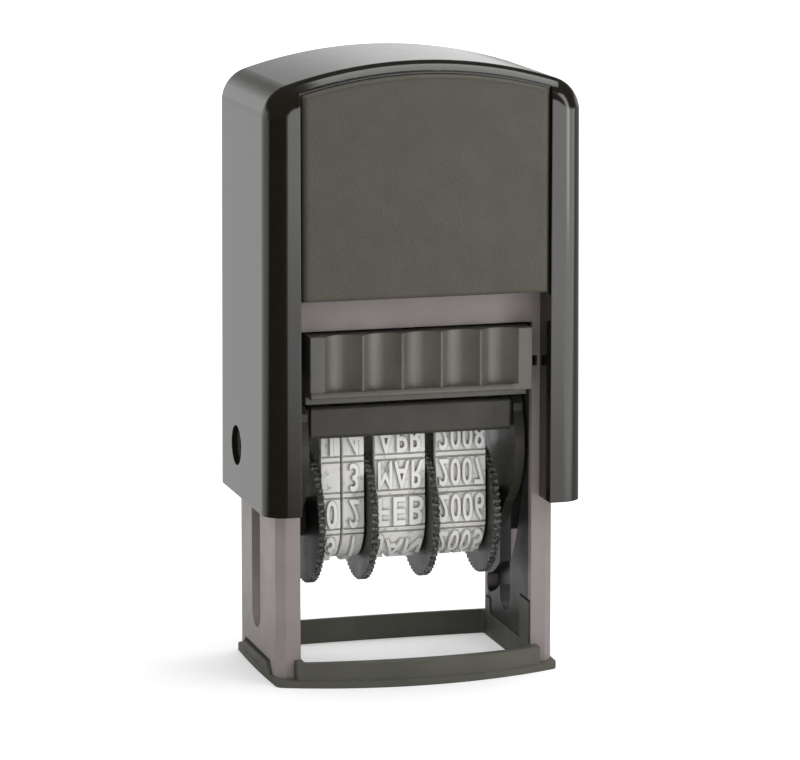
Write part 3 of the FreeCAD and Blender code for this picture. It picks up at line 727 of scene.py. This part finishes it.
materials = {
    "housing_gloss": housing_gloss(),
    "panel_matte": moulded_plastic(
        "panel_matte", (0.072, 0.067, 0.05), roughness=0.5, grain=0.22, grain_depth=0.04,
        edge=0.9, tint=0.05),
    "pin_black": moulded_plastic(
        "pin_black", (0.045, 0.045, 0.04), roughness=0.3, grain=0.5, grain_depth=0.01),
    "frame_grey": frame_grey(),
    "base_black": moulded_plastic(
        "base_black", (0.1, 0.098, 0.079), roughness=0.5, grain=0.3, grain_depth=0.01),
    "spring_steel": steel("spring_steel", (0.5, 0.5, 0.49), roughness=0.25),
    "carrier_black": moulded_plastic(
        "carrier_black", (0.05, 0.046, 0.034), roughness=0.36, grain=0.35, grain_depth=0.01),
    "axle_steel": steel("axle_steel", (0.5, 0.5, 0.5), roughness=0.3),
    "band_rubber": rubber(
        "band_rubber", clean=(0.88, 0.87, 0.83), dirty_and_shaded=(0.3, 0.29, 0.25), dirt_start=0.57),
    "wheel_black": thumb_wheel(),
    "cartridge_black": moulded_plastic(
        "cartridge_black", (0.115, 0.11, 0.09), roughness=0.3, grain=0.4, grain_depth=0.01,
        edge=0.2),
    "ink_felt": felt(),
}
finishes = {
    "band_characters": rubber(
        "band_characters", clean=(0.96, 0.955, 0.935), dirty_and_shaded=(0.6, 0.58, 0.54), dirt_start=0.62),
}
slots = {part["node"]: part["material_slot"] for part in frame["record"]["subparts"]}
for node, piece in frame["nodes"].items():
    piece.data.materials.clear()
    piece.data.materials.append(materials[slots[node]])

date_band("day_tens_band", rows_of_tens)
date_band("day_units_band", rows_of_units)
date_band("month_band", rows_of_months)
date_band("year_band", rows_of_years)
coil_spring()
felt_pad()


# Floor, light and camera

def studio_floor():
    """A pale floor that reads as white to the camera and still holds the shadow."""
    bpy.ops.object.select_all(action="DESELECT")
    bpy.ops.mesh.primitive_plane_add(size=floor_size)
    floor = bpy.context.object
    floor.name = "floor"
    material, shader, place = start_material("floor")
    nodes = material.node_tree.nodes
    tone = spread(material, noise(material, place, floor_grain), 0.0, 1.0)
    link(material, colour_between(material, tone, (0.79, 0.79, 0.79), (0.81, 0.81, 0.81)),
         shader.inputs["Base Color"])
    shader.inputs["Roughness"].default_value = 0.9
    seen = nodes.new("ShaderNodeLightPath")
    distance = nodes.new("ShaderNodeVectorMath")
    distance.operation = "LENGTH"
    link(material, place, distance.inputs[0])
    glow = nodes.new("ShaderNodeEmission")
    near_to_far = ramp(
        material, distance.outputs["Value"], floor_glow_near, floor_glow_far,
        near_glow, far_glow)
    link(material, maths(material, "MULTIPLY", near_to_far, seen.outputs["Is Camera Ray"]),
         glow.inputs["Strength"])
    both = nodes.new("ShaderNodeAddShader")
    link(material, shader.outputs["BSDF"], both.inputs[0])
    link(material, glow.outputs["Emission"], both.inputs[1])
    mirrored = nodes.new("ShaderNodeEmission")
    link(material, floor_in_gloss(material, place), mirrored.inputs["Strength"])
    choice = nodes.new("ShaderNodeMixShader")
    link(material, seen.outputs["Is Glossy Ray"], choice.inputs[0])
    link(material, both.outputs["Shader"], choice.inputs[1])
    link(material, mirrored.outputs["Emission"], choice.inputs[2])
    link(material, choice.outputs["Shader"], nodes["Material Output"].inputs["Surface"])
    floor.data.materials.append(material)


def floor_in_gloss(material, place):
    """How bright gloss shows the floor: dark in front on the left, brightest on the right."""
    x = along(material, place, "X")
    y = along(material, place, "Y")
    left_share = ramp(material, x, *gloss_middle, 1, 0)
    left = maths(material, "MULTIPLY", left_share, ramp(material, y, *gloss_left_side, 0.02, 0.85))
    near_sheen = ramp(material, x, *gloss_middle, 0, 1.05)
    sheen = maths(material, "ADD", near_sheen, ramp(material, x, *gloss_far_right, 0, 1.1))
    front_right = maths(material, "MULTIPLY", sheen, ramp(material, y, *gloss_front, 1, 0))
    right = maths(material, "ADD", front_right, ramp(material, x, *gloss_middle, 0, 0.42))
    return maths(material, "ADD", left, right)


def studio_world():
    """Even light from all round; the camera sees white, and gloss a white wall behind."""
    world = bpy.data.worlds.new("studio")
    bpy.context.scene.world = world
    world.use_nodes = True
    nodes = world.node_tree.nodes
    seen = nodes.new("ShaderNodeLightPath")
    sky = nodes.new("ShaderNodeTexCoord").outputs["Generated"]
    split = nodes.new("ShaderNodeSeparateXYZ")
    link(world, sky, split.inputs[0])
    behind = ramp(world, split.outputs["Y"], *wall_behind, 0, 1)
    low_down = ramp(world, split.outputs["Z"], *wall_low, 1, 0)
    wall = ramp(world, maths(world, "MULTIPLY", behind, low_down), 0, 1, dim_wall, 1.0)
    in_gloss = maths(world, "MULTIPLY", wall, seen.outputs["Is Glossy Ray"])
    plain = ramp(world, seen.outputs["Is Glossy Ray"], 0, 1, even_light, 0)
    unseen = maths(world, "ADD", in_gloss, plain)
    strength = maths(world, "MAXIMUM", unseen, seen.outputs["Is Camera Ray"])
    link(world, strength, nodes["Background"].inputs["Strength"])
    nodes["Background"].inputs["Color"].default_value = (1, 1, 1, 1)


def soft_box(name, place, target, width, height, radiance):
    """A lamp's face of this brightness, which the camera doesn't see."""
    light = bpy.data.lights.new(name, "AREA")
    light.shape = "RECTANGLE"
    light.size = width
    light.size_y = height
    light.energy = radiance * math.pi * width * height
    lamp = bpy.data.objects.new(name, light)
    bpy.context.scene.collection.objects.link(lamp)
    lamp.location = place
    lamp.rotation_euler = (Vector(target) - Vector(place)).to_track_quat("-Z", "Y").to_euler()
    lamp.visible_camera = False


def photo_camera():
    """The photograph's place, turn and focal length, fitted to the object's edges."""
    camera = bpy.data.objects.new("camera", bpy.data.cameras.new("camera"))
    bpy.context.scene.collection.objects.link(camera)
    bpy.context.scene.camera = camera
    camera.location = camera_place
    camera.rotation_euler = (math.radians(90 - camera_down), 0, math.radians(camera_turn))
    camera.data.sensor_width = camera_sensor
    camera.data.lens = camera_lens
    camera.data.clip_start = 0.01


studio_floor()
studio_world()
soft_box("overhead_box", (0.2, 0.0, 0.7), lamp_target, width=0.5, height=0.5, radiance=3.0)
soft_box("low_card", (0.27, -0.3, 0.13), lamp_target, width=0.1, height=0.26, radiance=3.5)
photo_camera()
bpy.context.scene.view_settings.view_transform = "Standard"
